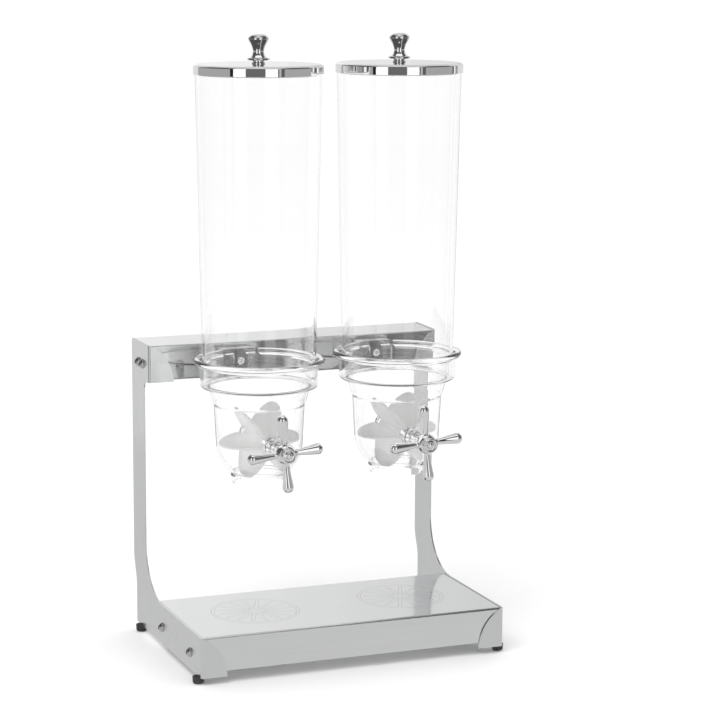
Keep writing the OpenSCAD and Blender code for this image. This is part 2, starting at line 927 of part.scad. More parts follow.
module lid(side) {
    inner_r = lid_ir - lid_inner_edge_r;
    color(polished)
        at_unit(side)
            rotate_extrude($fn = 160)
                polygon(concat(
                    [[knob_screw_r + hole_gap, lid_under_z], [inner_r, lid_under_z]],
                    arc(inner_r, lid_under_z - lid_inner_edge_r, lid_inner_edge_r, 90, 0, 5),
                    [[lid_ir, lid_top_z - lid_skirt_h], [lid_r, lid_top_z - lid_skirt_h]],
                    arc(lid_r - lid_edge_r, lid_top_z - lid_edge_r, lid_edge_r, 0, 90, 8),
                    [[knob_screw_r + hole_gap, lid_top_z]]
                ));
}

module lid_seal(side) {
    color(milky)
        at_unit(side)
            rotate_extrude($fn = 160)
                polygon([
                    [seal_lip_r - seal_lip_w, lid_under_z],
                    [seal_lip_r - seal_lip_w, tube_top_z - seal_lip_h],
                    [seal_lip_r - seal_edge, tube_top_z - seal_lip_h],
                    [seal_lip_r, tube_top_z - seal_lip_h + seal_edge],
                    [seal_lip_r, tube_top_z],
                    [tube_top_r, tube_top_z],
                    [tube_top_r, lid_under_z - seal_edge],
                    [tube_top_r - seal_edge, lid_under_z]
                ]);
}

// Turned knob: a foot, a thin disc, a waisted neck and a domed crown
module lid_knob(side) {
    color(polished)
        at_unit(side)
            translate([0, 0, lid_top_z])
                difference() {
                    rotate_extrude()
                        polygon(concat(
                            knob_foot_points(),
                            knob_disc_points(),
                            [for (i = [0:12]) let (t = i / 12) [
                                knob_neck_r + (knob_r - knob_neck_r) * pow(t, 1.7),
                                knob_neck_z + (knob_crown_z - knob_neck_z) * t
                            ]],
                            [for (i = [1:8]) let (t = i / 8)
                                [knob_r * cos(90 * t), knob_crown_z + knob_crown_h * sin(90 * t)]]
                        ));
                    translate([0, 0, -1])
                        cylinder(r = knob_screw_r + run_gap, h = knob_bore_h + 1);
                }
}

function knob_foot_points() = [
    [0, 0], [knob_foot_r, 0], [knob_foot_r, knob_foot_h],
    [knob_stem_r, 2 * knob_foot_h], [knob_stem_r, knob_disc_z - 0.2]
];

// The disc's rounded edge, then the hollow curve up into the neck
function knob_disc_points() = concat(
    [for (i = [0:6]) let (a = 30 * i - 90) [
        knob_disc_r - knob_disc_t / 2 + knob_disc_t / 2 * cos(a),
        knob_disc_z + knob_disc_t / 2 + knob_disc_t / 2 * sin(a)
    ]],
    [for (i = [1:5]) let (a = 18 * i) [
        knob_disc_r - knob_disc_t / 2 - (knob_disc_r - knob_disc_t / 2 - knob_neck_r) * sin(a),
        knob_neck_z - (knob_neck_z - knob_disc_z - knob_disc_t) * cos(a)
    ]]
);

module knob_screw(side) {
    color(zinc)
        at_unit(side)
            translate([0, 0, lid_under_z])
                difference() {
                    union() {
                        cylinder(r = knob_screw_r, h = lid_t + knob_bore_h - 2);
                        translate([0, 0, -knob_head_h])
                            cylinder(r = knob_head_r, h = knob_head_h);
                    }
                    translate([0, 0, -knob_head_h - 1])
                        cylinder(r = 0.4 * knob_head_r, h = 1 + knob_head_h / 2, $fn = 6);
                }
}

base_platform();
side_plate_left();
side_plate_right();
cross_beam();
side_screws();
side_nuts();
rubber_feet();
bowl(left);  // bowl_left
bowl(right);  // bowl_right
bowl_screws();
beam_nuts();
shaft_bush(left);  // shaft_bush_left
shaft_bush(right);  // shaft_bush_right
portion_wheel(left);  // portion_wheel_left
portion_wheel(right);  // portion_wheel_right
wheel_pin(left);  // wheel_pin_left
wheel_pin(right);  // wheel_pin_right
shaft(left);  // shaft_left
shaft(right);  // shaft_right
cross_handle(left);  // cross_handle_left
cross_handle(right);  // cross_handle_right
handle_screw(left);  // handle_screw_left
handle_screw(right);  // handle_screw_right
handle_cap(left);  // handle_cap_left
handle_cap(right);  // handle_cap_right
tube(left);  // tube_left
tube(right);  // tube_right
lid(left);  // lid_left
lid(right);  // lid_right
lid_seal(left);  // lid_seal_left
lid_seal(right);  // lid_seal_right
lid_knob(left);  // lid_knob_left
lid_knob(right);  // lid_knob_right
knob_screw(left);  // knob_screw_left
knob_screw(right);  // knob_screw_right
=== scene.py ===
import math

import bmesh
import bpy
from mathutils import Matrix, Vector


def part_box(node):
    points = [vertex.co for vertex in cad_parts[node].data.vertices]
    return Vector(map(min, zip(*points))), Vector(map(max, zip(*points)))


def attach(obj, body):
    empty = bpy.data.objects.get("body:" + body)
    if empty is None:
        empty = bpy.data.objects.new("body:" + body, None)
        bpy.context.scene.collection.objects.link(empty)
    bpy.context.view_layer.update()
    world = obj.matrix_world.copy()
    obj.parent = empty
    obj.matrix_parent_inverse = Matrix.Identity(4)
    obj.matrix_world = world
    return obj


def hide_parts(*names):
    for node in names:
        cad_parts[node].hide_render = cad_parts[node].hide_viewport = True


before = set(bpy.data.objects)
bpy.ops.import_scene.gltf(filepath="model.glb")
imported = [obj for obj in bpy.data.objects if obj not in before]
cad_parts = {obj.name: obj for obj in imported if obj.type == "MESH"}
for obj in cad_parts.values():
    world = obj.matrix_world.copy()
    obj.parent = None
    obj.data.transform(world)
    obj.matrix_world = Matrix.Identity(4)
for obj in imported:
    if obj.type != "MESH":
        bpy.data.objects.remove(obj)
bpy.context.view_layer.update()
scene = bpy.context.scene
MM = 0.001
SIDES = (("left", -1), ("right", 1))


# ---- Measures, in millimetres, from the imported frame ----

def box_mm(node):
    lo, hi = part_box(node)
    return lo / MM, hi / MM


def centre_mm(node):
    lo, hi = box_mm(node)
    return (lo + hi) / 2


PLATE_LO, PLATE_HI = box_mm("side_plate_left")
HALF_W = -PLATE_LO.x
BASE_FRONT, COLUMN_REAR = PLATE_LO.y, PLATE_HI.y
PLATE_BOTTOM, STAND_TOP = box_mm("rubber_feet")[1].z, PLATE_HI.z
PLATFORM_LO, PLATFORM_HI = box_mm("base_platform")
BEAM_LO, BEAM_HI = box_mm("cross_beam")
PLATE_TOP = PLATFORM_HI.z
TUBE_LO, TUBE_HI = box_mm("tube_left")
UNIT_X = -centre_mm("tube_left").x
UNIT_Y = centre_mm("tube_left").y
TUBE_TOP_R = (TUBE_HI.x - TUBE_LO.x) / 2
BOWL_LO, BOWL_HI = box_mm("bowl_left")
LID_LO, LID_HI = box_mm("lid_left")
LID_R = (LID_HI.x - LID_LO.x) / 2
SHAFT_Z = centre_mm("shaft_bush_left").z
REST_TURN = math.radians(5)


# ---- Mesh helpers ----

SHARP = 32          # degrees between faces from which an edge is shaded sharp
BEVEL_FROM = 35     # degrees from which an edge is bevelled
FLAT_CORNER = 89    # half angle, in degrees, from which a corner needs no rounding
EDGE_SHARE = 0.48   # share of a line that one corner's rounding may take


def new_object(name, bm, sharp=SHARP):
    bmesh.ops.recalc_face_normals(bm, faces=bm.faces)
    mesh = bpy.data.meshes.new(name)
    bm.to_mesh(mesh)
    bm.free()
    obj = bpy.data.objects.new(name, mesh)
    scene.collection.objects.link(obj)
    smooth(obj, sharp)
    return obj


def smooth(obj, sharp=SHARP):
    mesh = obj.data
    mesh.polygons.foreach_set("use_smooth", [True] * len(mesh.polygons))
    mesh.set_sharp_from_angle(angle=math.radians(sharp))
    mesh.update()


def apply_modifiers(obj):
    bpy.context.view_layer.update()
    graph = bpy.context.evaluated_depsgraph_get()
    mesh = bpy.data.meshes.new_from_object(obj.evaluated_get(graph), depsgraph=graph)
    obj.modifiers.clear()
    obj.data = mesh
    return obj


def boolean(obj, tool, operation):
    m = obj.modifiers.new("cut", "BOOLEAN")
    m.operation = operation
    m.solver = "MANIFOLD"
    m.object = tool
    apply_modifiers(obj)
    bpy.data.objects.remove(tool)
    return obj


def soften(obj, width, segments=2, weighted=True):
    m = obj.modifiers.new("edge", "BEVEL")
    m.width = width * MM
    m.segments = segments
    m.limit_method = "ANGLE"
    m.angle_limit = math.radians(BEVEL_FROM)
    m.use_clamp_overlap = True
    m.harden_normals = False
    if weighted:
        w = obj.modifiers.new("normals", "WEIGHTED_NORMAL")
        w.keep_sharp = True
        w.weight = 80
    return apply_modifiers(obj)


def fillet(points, steps=5):
    """A closed line of (a, b) or (a, b, radius) points; the corners with a radius are rounded."""
    out = []
    n = len(points)
    for i, p in enumerate(points):
        if len(p) < 3 or p[2] <= 0:
            out.append((p[0], p[1]))
            continue
        here = Vector(p[:2])
        a = Vector(points[i - 1][:2]) - here
        b = Vector(points[(i + 1) % n][:2]) - here
        half = a.angle(b) / 2
        if math.degrees(half) > FLAT_CORNER:
            out.append((p[0], p[1]))
            continue
        reach = min(p[2] / math.tan(half), EDGE_SHARE * a.length, EDGE_SHARE * b.length)
        r = reach * math.tan(half)
        mid = here + (a.normalized() + b.normalized()).normalized() * (r / math.sin(half))
        start = here + a.normalized() * reach - mid
        end = here + b.normalized() * reach - mid
        turn = start.angle_signed(end)
        for k in range(steps + 1):
            q = mid + Matrix.Rotation(-turn * k / steps, 2) @ start
            out.append((q.x, q.y))
    return out


def place(local, at, axis):
    x, y, z = local
    if axis == "front":
        return Vector((at[0] + x, at[1] - z, at[2] + y)) * MM
    return Vector((at[0] + x, at[1] + y, at[2] + z)) * MM


def lathe(name, profile, at, axis="up", segments=160, sharp=SHARP, closed=True, even=False):
    """Turns a line of (radius, height) points, given round the solid, about the axis through at."""
    bm = bmesh.new()
    rings = []
    for r, h in profile:
        if r < 1e-5:
            rings.append([bm.verts.new(place((0, 0, h), at, axis))])
            continue
        rings.append([
            bm.verts.new(place((
                r * math.cos(2 * math.pi * k / segments),
                r * math.sin(2 * math.pi * k / segments), h), at, axis))
            for k in range(segments)
        ])
    pairs = list(zip(rings, rings[1:]))
    if closed and not (len(rings[0]) == 1 and len(rings[-1]) == 1):
        pairs.append((rings[-1], rings[0]))
    for a, b in pairs:
        if len(a) == 1 and len(b) == 1:
            continue
        for k in range(segments):
            j = (k + 1) % segments
            if len(a) == 1:
                bm.faces.new((a[0], b[k], b[j]))
            elif len(b) == 1:
                bm.faces.new((a[k], a[j], b[0]))
            else:
                bm.faces.new((a[k], a[j], b[j], b[k]))
    obj = new_object(name, bm, sharp)
    return weighted(obj) if even else obj


def weighted(obj):
    """Large faces set the shading normals, so that they stay flat up to their rounded edges."""
    m = obj.modifiers.new("normals", "WEIGHTED_NORMAL")
    m.keep_sharp = True
    m.weight = 90
    return apply_modifiers(obj)


def prism(name, outline, low, high, to_world):
    """A flat outline carried from low to high; to_world turns (a, b, height) into millimetres."""
    bm = bmesh.new()
    bottom = [bm.verts.new(Vector(to_world(a, b, low)) * MM) for a, b in outline]
    top = [bm.verts.new(Vector(to_world(a, b, high)) * MM) for a, b in outline]
    bm.faces.new(bottom)
    bm.faces.new(top[::-1])
    n = len(outline)
    for i in range(n):
        j = (i + 1) % n
        bm.faces.new((bottom[i], bottom[j], top[j], top[i]))
    return new_object(name, bm)


def block(name, lo, hi):
    return prism(name, [(lo[0], lo[1]), (hi[0], lo[1]), (hi[0], hi[1]), (lo[0], hi[1])],
                 lo[2], hi[2], lambda a, b, c: (a, b, c))


def arc(cx, cy, r, a0, a1, steps=10):
    return [(cx + r * math.cos(math.radians(a0 + (a1 - a0) * i / steps)),
             cy + r * math.sin(math.radians(a0 + (a1 - a0) * i / steps)))
            for i in range(steps + 1)]


# ---- Node materials ----

def material(name):
    m = bpy.data.materials.new(name)
    m.use_nodes = True
    nt = m.node_tree
    shader = nt.nodes["Principled BSDF"]
    return m, nt, shader


def math_node(nt, op, a, b=None):
    n = nt.nodes.new("ShaderNodeMath")
    n.operation = op
    for i, v in enumerate((a, b)):
        if v is None:
            continue
        if isinstance(v, (int, float)):
            n.inputs[i].default_value = v
        else:
            nt.links.new(v, n.inputs[i])
    return n.outputs[0]


def stretched_noise(nt, scale, stretch, detail=4.0, roughness=0.55):
    coords = nt.nodes.new("ShaderNodeTexCoord")
    mapping = nt.nodes.new("ShaderNodeMapping")
    mapping.inputs["Scale"].default_value = stretch
    nt.links.new(coords.outputs["Object"], mapping.inputs["Vector"])
    n = nt.nodes.new("ShaderNodeTexNoise")
    n.inputs["Scale"].default_value = scale
    n.inputs["Detail"].default_value = detail
    n.inputs["Roughness"].default_value = roughness
    nt.links.new(mapping.outputs[0], n.inputs["Vector"])
    return n.outputs["Fac"]


def spread(nt, value, low, high, start=0.3, end=0.7):
    n = nt.nodes.new("ShaderNodeMapRange")
    n.inputs["From Min"].default_value = start
    n.inputs["From Max"].default_value = end
    n.inputs["To Min"].default_value = low
    n.inputs["To Max"].default_value = high
    nt.links.new(value, n.inputs["Value"])
    return n.outputs["Result"]


def two_tone(nt, value, a, b, start=0.3, end=0.7):
    n = nt.nodes.new("ShaderNodeValToRGB")
    n.color_ramp.elements[0].position = start
    n.color_ramp.elements[1].position = end
    n.color_ramp.elements[0].color = (*a, 1)
    n.color_ramp.elements[1].color = (*b, 1)
    nt.links.new(value, n.inputs["Fac"])
    return n.outputs["Color"]


def bump(nt, shader, height, strength, distance):
    n = nt.nodes.new("ShaderNodeBump")
    n.inputs["Strength"].default_value = strength
    n.inputs["Distance"].default_value = distance
    nt.links.new(height, n.inputs["Height"])
    nt.links.new(n.outputs["Normal"], shader.inputs["Normal"])


def mixed_in(nt, shader, name, mask, value):
    """Blends a constant into what already feeds one of the shader's sockets, where the mask is 1."""
    mix = nt.nodes.new("ShaderNodeMix")
    mix.data_type = "RGBA"
    nt.links.new(mask, mix.inputs["Factor"])
    nt.links.new(shader.inputs[name].links[0].from_socket, mix.inputs["A"])
    mix.inputs["B"].default_value = value
    nt.links.new(mix.outputs["Result"], shader.inputs[name])


def object_xyz(nt):
    coords = nt.nodes.new("ShaderNodeTexCoord")
    xyz = nt.nodes.new("ShaderNodeSeparateXYZ")
    nt.links.new(coords.outputs["Object"], xyz.inputs[0])
    return xyz.outputs


def steel(name, grain, tone, rough, grain_bump=0.05):
    """Brushed sheet: fine grain along one axis, with soft smudges in the gloss."""
    m, nt, s = material(name)
    s.inputs["Metallic"].default_value = 1.0
    fine = stretched_noise(nt, 1.0, grain, 3.0, 0.6)
    cloud = stretched_noise(nt, 14.0, (1, 1, 1), 3.0)
    colour = two_tone(nt, fine, [c * 0.94 for c in tone], tone, 0.25, 0.75)
    nt.links.new(colour, s.inputs["Base Color"])
    base = spread(nt, fine, rough * 0.85, rough * 1.2)
    smudge = spread(nt, cloud, -0.02, 0.04)
    nt.links.new(math_node(nt, "ADD", base, smudge), s.inputs["Roughness"])
    bump(nt, s, fine, grain_bump, 0.0002)
    return m


def chrome_plate(name, tone=0.86, rough=0.035):
    """Bright plate with faint wipe marks and a slightly wavy polish."""
    m, nt, s = material(name)
    s.inputs["Metallic"].default_value = 1.0
    cloud = stretched_noise(nt, 60.0, (1, 1, 1), 4.0)
    marks = stretched_noise(nt, 30.0, (1, 6, 12), 6.0, 0.7)
    colour = two_tone(nt, cloud, (tone - 0.03,) * 3, (tone, tone, tone + 0.01))
    nt.links.new(colour, s.inputs["Base Color"])
    nt.links.new(spread(nt, marks, rough * 0.6, rough * 2.0, 0.35, 0.8), s.inputs["Roughness"])
    bump(nt, s, cloud, 0.06, 0.0002)
    return m


def zinc_plate(name):
    m, nt, s = material(name)
    s.inputs["Metallic"].default_value = 1.0
    cloud = stretched_noise(nt, 220.0, (1, 1, 1), 5.0)
    colour = two_tone(nt, cloud, (0.46, 0.47, 0.49), (0.62, 0.63, 0.65))
    nt.links.new(colour, s.inputs["Base Color"])
    nt.links.new(spread(nt, cloud, 0.28, 0.46), s.inputs["Roughness"])
    bump(nt, s, cloud, 0.15, 0.0002)
    return m


def rubber_black(name):
    m, nt, s = material(name)
    grain = stretched_noise(nt, 900.0, (1, 1, 1), 6.0)
    cloud = stretched_noise(nt, 90.0, (1, 1, 1), 3.0)
    colour = two_tone(nt, cloud, (0.022, 0.022, 0.024), (0.045, 0.045, 0.048))
    nt.links.new(colour, s.inputs["Base Color"])
    nt.links.new(spread(nt, grain, 0.55, 0.8), s.inputs["Roughness"])
    bump(nt, s, grain, 0.25, 0.0003)
    return m


def clear_plastic(name, density, wave):
    """Clear moulding: slight grey in thick sections, faint flow waves along its height."""
    m, nt, s = material(name)
    s.inputs["Base Color"].default_value = (1, 1, 1, 1)
    s.inputs["Transmission Weight"].default_value = 1.0
    s.inputs["IOR"].default_value = 1.49
    s.inputs["Roughness"].default_value = 0.0
    s.inputs["Specular IOR Level"].default_value = 0.3
    bump(nt, s, stretched_noise(nt, 1.0, wave, 2.0), 0.12, 0.0004)
    volume = nt.nodes.new("ShaderNodeVolumeAbsorption")
    volume.inputs["Color"].default_value = (0.42, 0.44, 0.45, 1)
    volume.inputs["Density"].default_value = density
    nt.links.new(volume.outputs[0], nt.nodes["Material Output"].inputs["Volume"])
    return m


def silicone(name, tone, transmission, painted_glow):
    """Milky soft moulding; its last argument sets a painted glow, white emission that makes the sheets
    brighter than the light reaching them.
    """
    m, nt, s = material(name)
    cloud = stretched_noise(nt, 45.0, (1, 1, 1), 4.0)
    fine = stretched_noise(nt, 700.0, (1, 1, 1), 4.0)
    nt.links.new(two_tone(nt, cloud, [c * 0.93 for c in tone], tone), s.inputs["Base Color"])
    nt.links.new(spread(nt, fine, 0.34, 0.5), s.inputs["Roughness"])
    s.inputs["Transmission Weight"].default_value = transmission
    s.inputs["IOR"].default_value = 1.41
    s.inputs["Emission Color"].default_value = (1, 1, 1, 1)
    # painted glow: white emission that brightens the moulding
    s.inputs["Emission Strength"].default_value = painted_glow
    bump(nt, s, fine, 0.05, 0.0002)
    return m


def beam_with_painted_reflection(name, grain, tone, rough):
    """The beam's sheet, with painted reflection: dark upright streaks painted into the colour of its front,
    strongest in the middle.
    """
    m = steel(name, grain, tone, rough, 0.02)
    nt = m.node_tree
    x, y, _ = object_xyz(nt)
    reflection_streaks = spread(nt, stretched_noise(nt, 1.0, (42, 1, 5), 2.0), 0.5, 0.96, 0.42, 0.56)
    middle = spread(nt, math_node(nt, "ABSOLUTE", x), 1.0, 0.4, 90 * MM, 150 * MM)
    front = math_node(nt, "LESS_THAN", y, (BEAM_LO.y + SKIN) * MM)
    painted_reflection = math_node(nt, "MULTIPLY", math_node(nt, "MULTIPLY", reflection_streaks, middle), front)
    # painted reflection: dark streaks mixed into the base colour of the beam's front
    mixed_in(nt, nt.nodes["Principled BSDF"], "Base Color", painted_reflection, (0.05, 0.05, 0.052, 1))
    return m


def etched_steel(name, grain, tone, rough):
    """The platform's sheet, with a wheel-shaped motif etched under each outlet."""
    m = steel(name, grain, tone, rough)
    nt = m.node_tree
    s = nt.nodes["Principled BSDF"]
    out_x, out_y, z = object_xyz(nt)
    x = math_node(nt, "SUBTRACT", math_node(nt, "ABSOLUTE", out_x), MOTIF_X * MM)
    y = math_node(nt, "SUBTRACT", out_y, MOTIF_Y * MM)
    r = math_node(nt, "SQRT", math_node(nt, "ADD", math_node(nt, "MULTIPLY", x, x),
                                        math_node(nt, "MULTIPLY", y, y)))
    # one spoke's own coordinates: along it from the motif's centre, and across it
    turn = math_node(nt, "DIVIDE", math_node(nt, "ARCTAN2", y, x), SPOKE_STEP)
    cell = math_node(nt, "FRACT", math_node(nt, "ADD", turn, SPOKES + 0.5))
    a = math_node(nt, "MULTIPLY", math_node(nt, "SUBTRACT", cell, 0.5), SPOKE_STEP)
    across = math_node(nt, "MULTIPLY", r, math_node(nt, "SINE", a))
    along = math_node(nt, "MULTIPLY", r, math_node(nt, "COSINE", a))
    near = math_node(nt, "MINIMUM", math_node(nt, "MAXIMUM", along, SPOKE_FROM * MM), SPOKE_TO * MM)
    off = math_node(nt, "SUBTRACT", along, near)
    loop = math_node(nt, "SQRT", math_node(nt, "ADD", math_node(nt, "MULTIPLY", across, across),
                                           math_node(nt, "MULTIPLY", off, off)))
    lines = None
    for distance, size, width in ((loop, SPOKE_HALF, THIN_LINE), *((r, *ring) for ring in MOTIF_RINGS)):
        d = math_node(nt, "ABSOLUTE", math_node(nt, "SUBTRACT", distance, size * MM))
        n = nt.nodes.new("ShaderNodeMapRange")
        n.interpolation_type = "SMOOTHSTEP"
        n.inputs["From Min"].default_value = (width + LINE_FADE) * MM
        n.inputs["From Max"].default_value = width * LINE_CORE * MM
        nt.links.new(d, n.inputs["Value"])
        line = n.outputs["Result"]
        lines = line if lines is None else math_node(nt, "MAXIMUM", lines, line)
    top = math_node(nt, "GREATER_THAN", z, (PLATE_TOP - TOP_SKIN) * MM)
    mask = math_node(nt, "MULTIPLY", lines, top)
    mixed_in(nt, s, "Base Color", mask, (0.60, 0.60, 0.61, 1))
    mixed_in(nt, s, "Roughness", mask, (0.30, 0.30, 0.30, 1))
    return m


# millimetres: the motif's centre, its looped spokes, its rings as (radius, line width), its lines' edges
MOTIF_X, MOTIF_Y = UNIT_X + 5.5, UNIT_Y - 1.2
SPOKES = 16
SPOKE_STEP = 2 * math.pi / SPOKES
SPOKE_FROM, SPOKE_TO, SPOKE_HALF = 12, 39.2, 1.9
THIN_LINE = 0.3
MOTIF_RINGS = ((48.5, 0.36), (45.0, THIN_LINE), (7.6, THIN_LINE), (3.4, THIN_LINE))
LINE_FADE, LINE_CORE = 0.25, 0.6
# how deep behind the beam's front the painted reflection, and under the platform's top the etched motif,
# still shows
SKIN, TOP_SKIN = 0.6, 0.3
PLATE_STEEL = steel("satin_plate", (700, 700, 6), (0.76, 0.765, 0.77), 0.22)
PANEL_STEEL = etched_steel("etched_platform", (6, 800, 800), (0.80, 0.805, 0.81), 0.10)
# the beam's front carries painted reflection, dark streaks in its colour
BEAM_STEEL = beam_with_painted_reflection("polished_beam_painted_reflection", (8, 500, 500), (0.78, 0.785, 0.79), 0.04)
# painted shade: the sheets' cut edges are coloured near black (tone 0.16) to show a shadow gap along them
CUT_EDGE_PAINTED_SHADE = steel("cut_edge_painted_shade", (300, 300, 300), (0.16, 0.16, 0.165), 0.45)
# painted shade: the inside faces of the platform and the beam are coloured near black (tone 0.12)
INSIDE_PAINTED_SHADE = steel("inside_painted_shade", (300, 300, 300), (0.12, 0.12, 0.125), 0.5)
CHROME = chrome_plate("chrome_plate")
BRIGHT = chrome_plate("bright_screw", 0.55, 0.08)
ZINC = zinc_plate("zinc_plate")
RUBBER = rubber_black("black_rubber")
TUBE_CLEAR = clear_plastic("clear_tube", 5.0, (60, 60, 1.5))
BOWL_CLEAR = clear_plastic("clear_bowl", 4.0, (30, 30, 8))
# the petals carry a painted glow (emission 0.12) that brightens them inside the bowl
PETAL = silicone("milky_petal_painted_glow", (0.93, 0.93, 0.925), 0.1, 0.12)
SEAL = silicone("seal_silicone", (0.86, 0.86, 0.85), 0.5, 0.0)


def finish_piece(obj, mat, body, slot, *nodes):
    obj.data.materials.clear()
    for m in mat if isinstance(mat, tuple) else (mat,):
        obj.data.materials.append(m)
    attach(obj, body)
    if nodes:
        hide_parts(*nodes)
    return obj


# ---- Stand ----

PLATE_T = 1.5
BEND_R = 3.0
FLANGE_W = 29.0
FLANGE_R = 48.0
SWEEP_R = 58.0
REAR_STEP, REAR_RISE = 10, 36       # how far the column stands behind the base, and over which height
BASE_REAR = COLUMN_REAR - REAR_STEP
COLUMN_FRONT = COLUMN_REAR - 46
HEAD_FRONT = COLUMN_REAR - 66
HEAD_BOTTOM = STAND_TOP - 42
HEAD_SWEEP, TOP_CORNER_R, LOW_CORNER_R = 11, 6, 3
BEND_STEPS = 8
FOOT_Y = (BASE_FRONT + 13, BASE_REAR - 15)
TAB_W, TAB_L, TAB_IN = 7, 4.5, 0.04
EVEN_T, FOLD_R = 1.2, 2.5           # the platform's and the beam's sheet, and its wider bends
CORNER_FROM = 1.2                   # radians between faces from which a tray's edge is a fold


def flange_edge(top, bottom, steps=14):
    """Free edge of a front flange, from its top inwards and down, as (distance in, z)."""
    cx = FLANGE_W - FLANGE_R
    cz = top - math.sqrt(FLANGE_R ** 2 - (FLANGE_R - FLANGE_W + 1) ** 2)
    out = []
    for i in range(steps + 1):
        x = BEND_R + (FLANGE_W - BEND_R) * math.sin(math.pi / 2 * i / steps)
        out.append((x, max(bottom, cz + math.sqrt(max(0.0, FLANGE_R ** 2 - (x - cx) ** 2)))))
    if out[-1][1] > bottom:
        out.append((FLANGE_W, bottom))
    return out


def thicken(obj, thickness, mats):
    """Gives a surface its thickness; mats are the sheet, its cut edge and, if it differs, its inside."""
    thick = obj.modifiers.new("sheet", "SOLIDIFY")
    thick.thickness = thickness * MM
    thick.offset = -1
    thick.use_even_offset = True
    thick.material_offset_rim = 1
    if len(mats) > 2:
        thick.material_offset = 2
    for m in mats:
        obj.data.materials.append(m)
    return apply_modifiers(obj)


def side_plate(name, side):
    """One folded sheet: the web, and a bend with a curved flange at the base's and the head's front."""
    bm = bmesh.new()

    def vert(x_in, y, z):
        return bm.verts.new(Vector((side * (HALF_W - x_in), y, z)) * MM)

    def web_line(points):
        return [vert(0, y, z) for y, z in points]

    base_bend = web_line([(BASE_FRONT + BEND_R, PLATE_BOTTOM), (BASE_FRONT + BEND_R, PLATE_TOP)])
    head_bend = web_line([(HEAD_FRONT + BEND_R, HEAD_BOTTOM), (HEAD_FRONT + BEND_R, STAND_TOP)])
    web = [base_bend[0]]
    web += web_line(arc(BASE_REAR - LOW_CORNER_R, PLATE_BOTTOM + LOW_CORNER_R, LOW_CORNER_R, -90, 0, 6))
    web += web_line([(BASE_REAR + REAR_STEP * (1 - math.cos(math.pi * i / 16)) / 2,
                      PLATE_TOP + REAR_RISE * i / 16) for i in range(17)])
    web += web_line(arc(COLUMN_REAR - TOP_CORNER_R, STAND_TOP - TOP_CORNER_R, TOP_CORNER_R, 0, 90, 8))
    web += [head_bend[1], head_bend[0]]
    web += web_line(arc(COLUMN_FRONT - HEAD_SWEEP, HEAD_BOTTOM - HEAD_SWEEP, HEAD_SWEEP, 90, 0, 12))
    web += web_line(arc(COLUMN_FRONT - SWEEP_R, PLATE_TOP + SWEEP_R, SWEEP_R, 0, -90, 32))
    web.append(base_bend[1])
    bm.faces.new(web)
    for front, bottom, top, start in ((BASE_FRONT, PLATE_BOTTOM, PLATE_TOP, base_bend),
                                      (HEAD_FRONT, HEAD_BOTTOM, STAND_TOP, head_bend)):
        edge = flange_edge(top, bottom)
        last = start
        for i in range(1, BEND_STEPS + 1):
            a = math.pi / 2 * i / BEND_STEPS
            x_in, y = BEND_R * (1 - math.cos(a)), front + BEND_R * (1 - math.sin(a))
            high = top + (edge[0][1] - top) * i / BEND_STEPS
            here = [vert(x_in, y, bottom), vert(x_in, y, high)]
            bm.faces.new((last[0], last[1], here[1], here[0]))
            last = here
        bm.faces.new(last + [vert(x, front, z) for x, z in edge[1:]])
    obj = thicken(new_object(name, bm), PLATE_T, (PLATE_STEEL, CUT_EDGE_PAINTED_SHADE))
    for y in FOOT_Y:
        ends = sorted((side * (HALF_W - TAB_IN), side * (HALF_W - PLATE_T + TAB_IN)))
        tab = block("tab", (ends[0], y - TAB_W / 2, PLATE_BOTTOM - TAB_L),
                    (ends[1], y + TAB_W / 2, PLATE_BOTTOM + 1))
        boolean(obj, tab, "UNION")
    smooth(obj, 30)
    return soften(obj, 0.28, 2)


for word, side in SIDES:
    finish_piece(side_plate("folded_plate_" + word, side), (PLATE_STEEL, CUT_EDGE_PAINTED_SHADE), "stand",
                 "brushed_sheet", "side_plate_" + word)


def tray(name, lo, hi, is_round, open_face, small):
    """A folded box of sheet, open on one side; is_round picks the wider bends, the others are small."""
    bm = bmesh.new()
    made = bmesh.ops.create_cube(bm, size=1.0)
    size = Vector(hi) - Vector(lo)
    mid = (Vector(hi) + Vector(lo)) / 2
    for v in made["verts"]:
        v.co = Vector((v.co.x * size.x, v.co.y * size.y, v.co.z * size.z)) + mid
        v.co *= MM
    axis, sign = open_face
    for f in list(bm.faces):
        if f.normal[axis] * sign > 0.5:
            bm.faces.remove(f)
    for width in (FOLD_R, small):
        chosen = [e for e in bm.edges if len(e.link_faces) == 2 and e.calc_face_angle(0) > CORNER_FROM
                  and (width == small or is_round(e))]
        bmesh.ops.bevel(bm, geom=chosen, offset=width * MM, segments=8 if width > 1 else 4,
                        profile=0.5, affect="EDGES", clamp_overlap=True)
    obj = thicken(new_object(name, bm), EVEN_T, (PLATE_STEEL, CUT_EDGE_PAINTED_SHADE, INSIDE_PAINTED_SHADE))
    smooth(obj, 30)
    return soften(obj, 0.22, 2)


def top_edge(e):
    return all(abs(v.co.z - PLATFORM_HI.z * MM) < 1e-5 for v in e.verts)


def front_edge(e):
    level = abs(e.verts[0].co.z - e.verts[1].co.z) < 1e-5
    return level and all(abs(v.co.y - BEAM_LO.y * MM) < 1e-5 for v in e.verts)


finish_piece(tray("platform_tray", PLATFORM_LO, PLATFORM_HI, top_edge, (2, -1), 0.8),
             (PANEL_STEEL, CUT_EDGE_PAINTED_SHADE, INSIDE_PAINTED_SHADE), "stand", "brushed_sheet", "base_platform")
finish_piece(tray("beam_channel", BEAM_LO, BEAM_HI, front_edge, (1, 1), 0.4),
             (BEAM_STEEL, CUT_EDGE_PAINTED_SHADE, INSIDE_PAINTED_SHADE), "stand", "polished_sheet", "cross_beam")


# ---- Fasteners and feet ----

